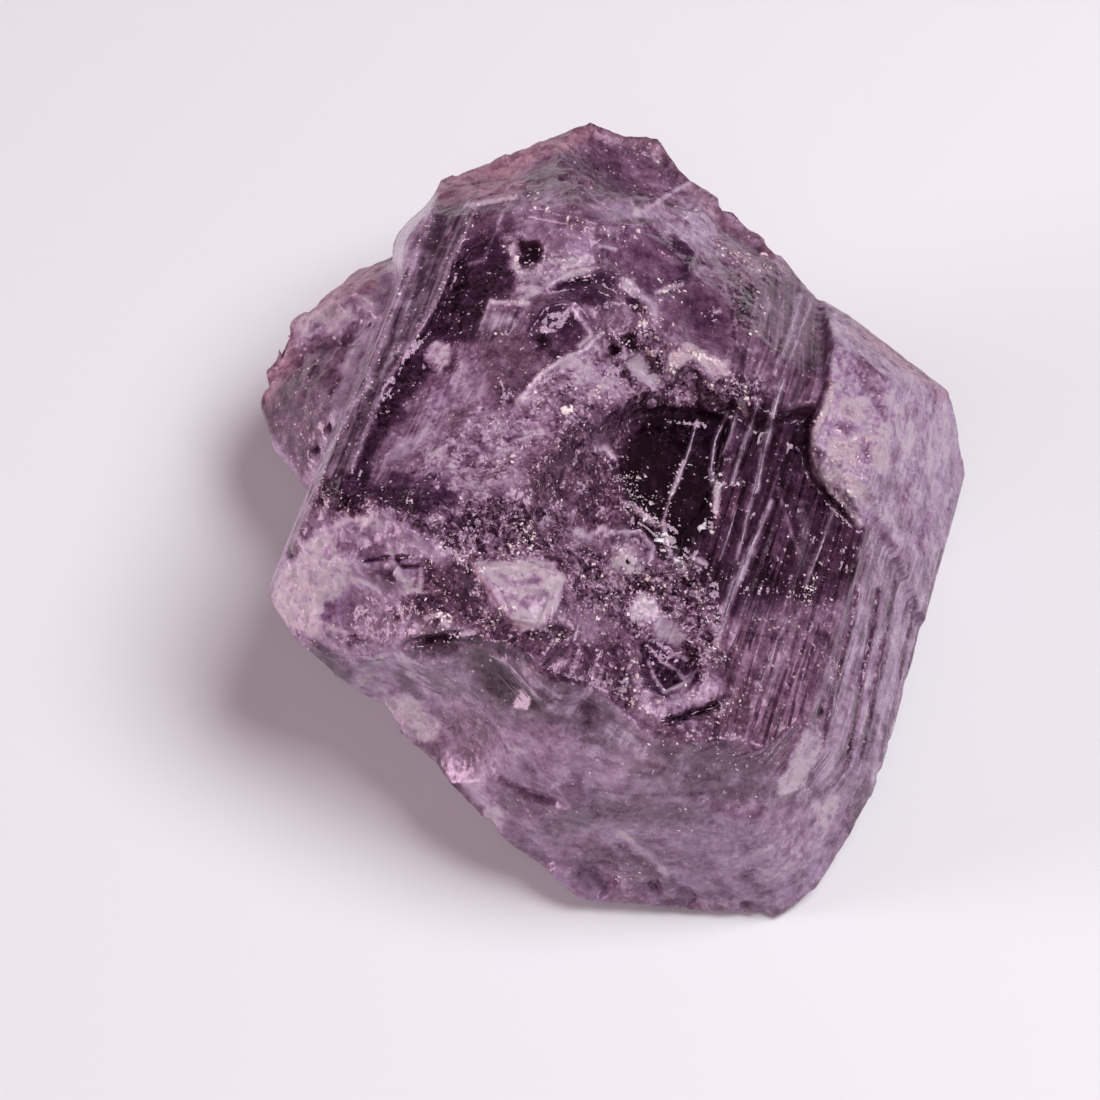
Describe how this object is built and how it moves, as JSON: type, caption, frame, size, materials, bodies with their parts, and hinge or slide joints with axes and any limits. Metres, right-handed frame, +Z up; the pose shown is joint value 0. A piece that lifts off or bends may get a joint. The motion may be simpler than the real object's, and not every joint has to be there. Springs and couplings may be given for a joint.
{
  "type": "scapolite crystal",
  "caption": "Stubby, broken prism of clear purple scapolite with growth lines along its sides, shell-shaped fractures and a smaller crystal grown on behind, lying on a flat underside.",
  "frame": {"origin": "on the underside, below the middle of the prism", "axes": "+Z up from the surface that the stone lies on; +Y along the prism's long axis, away from the broken end that faces the viewer"},
  "size_m": [0.0369, 0.0394, 0.0193],
  "materials": {
    "scapolite": "clear dark purple crystal, glassy on its faces, milky and satin where it is broken, with cream-white crusts in the hollows"
  },
  "bodies": {
    "root": {"scapolite_crystal": "scapolite"}
  },
  "joints": []
}
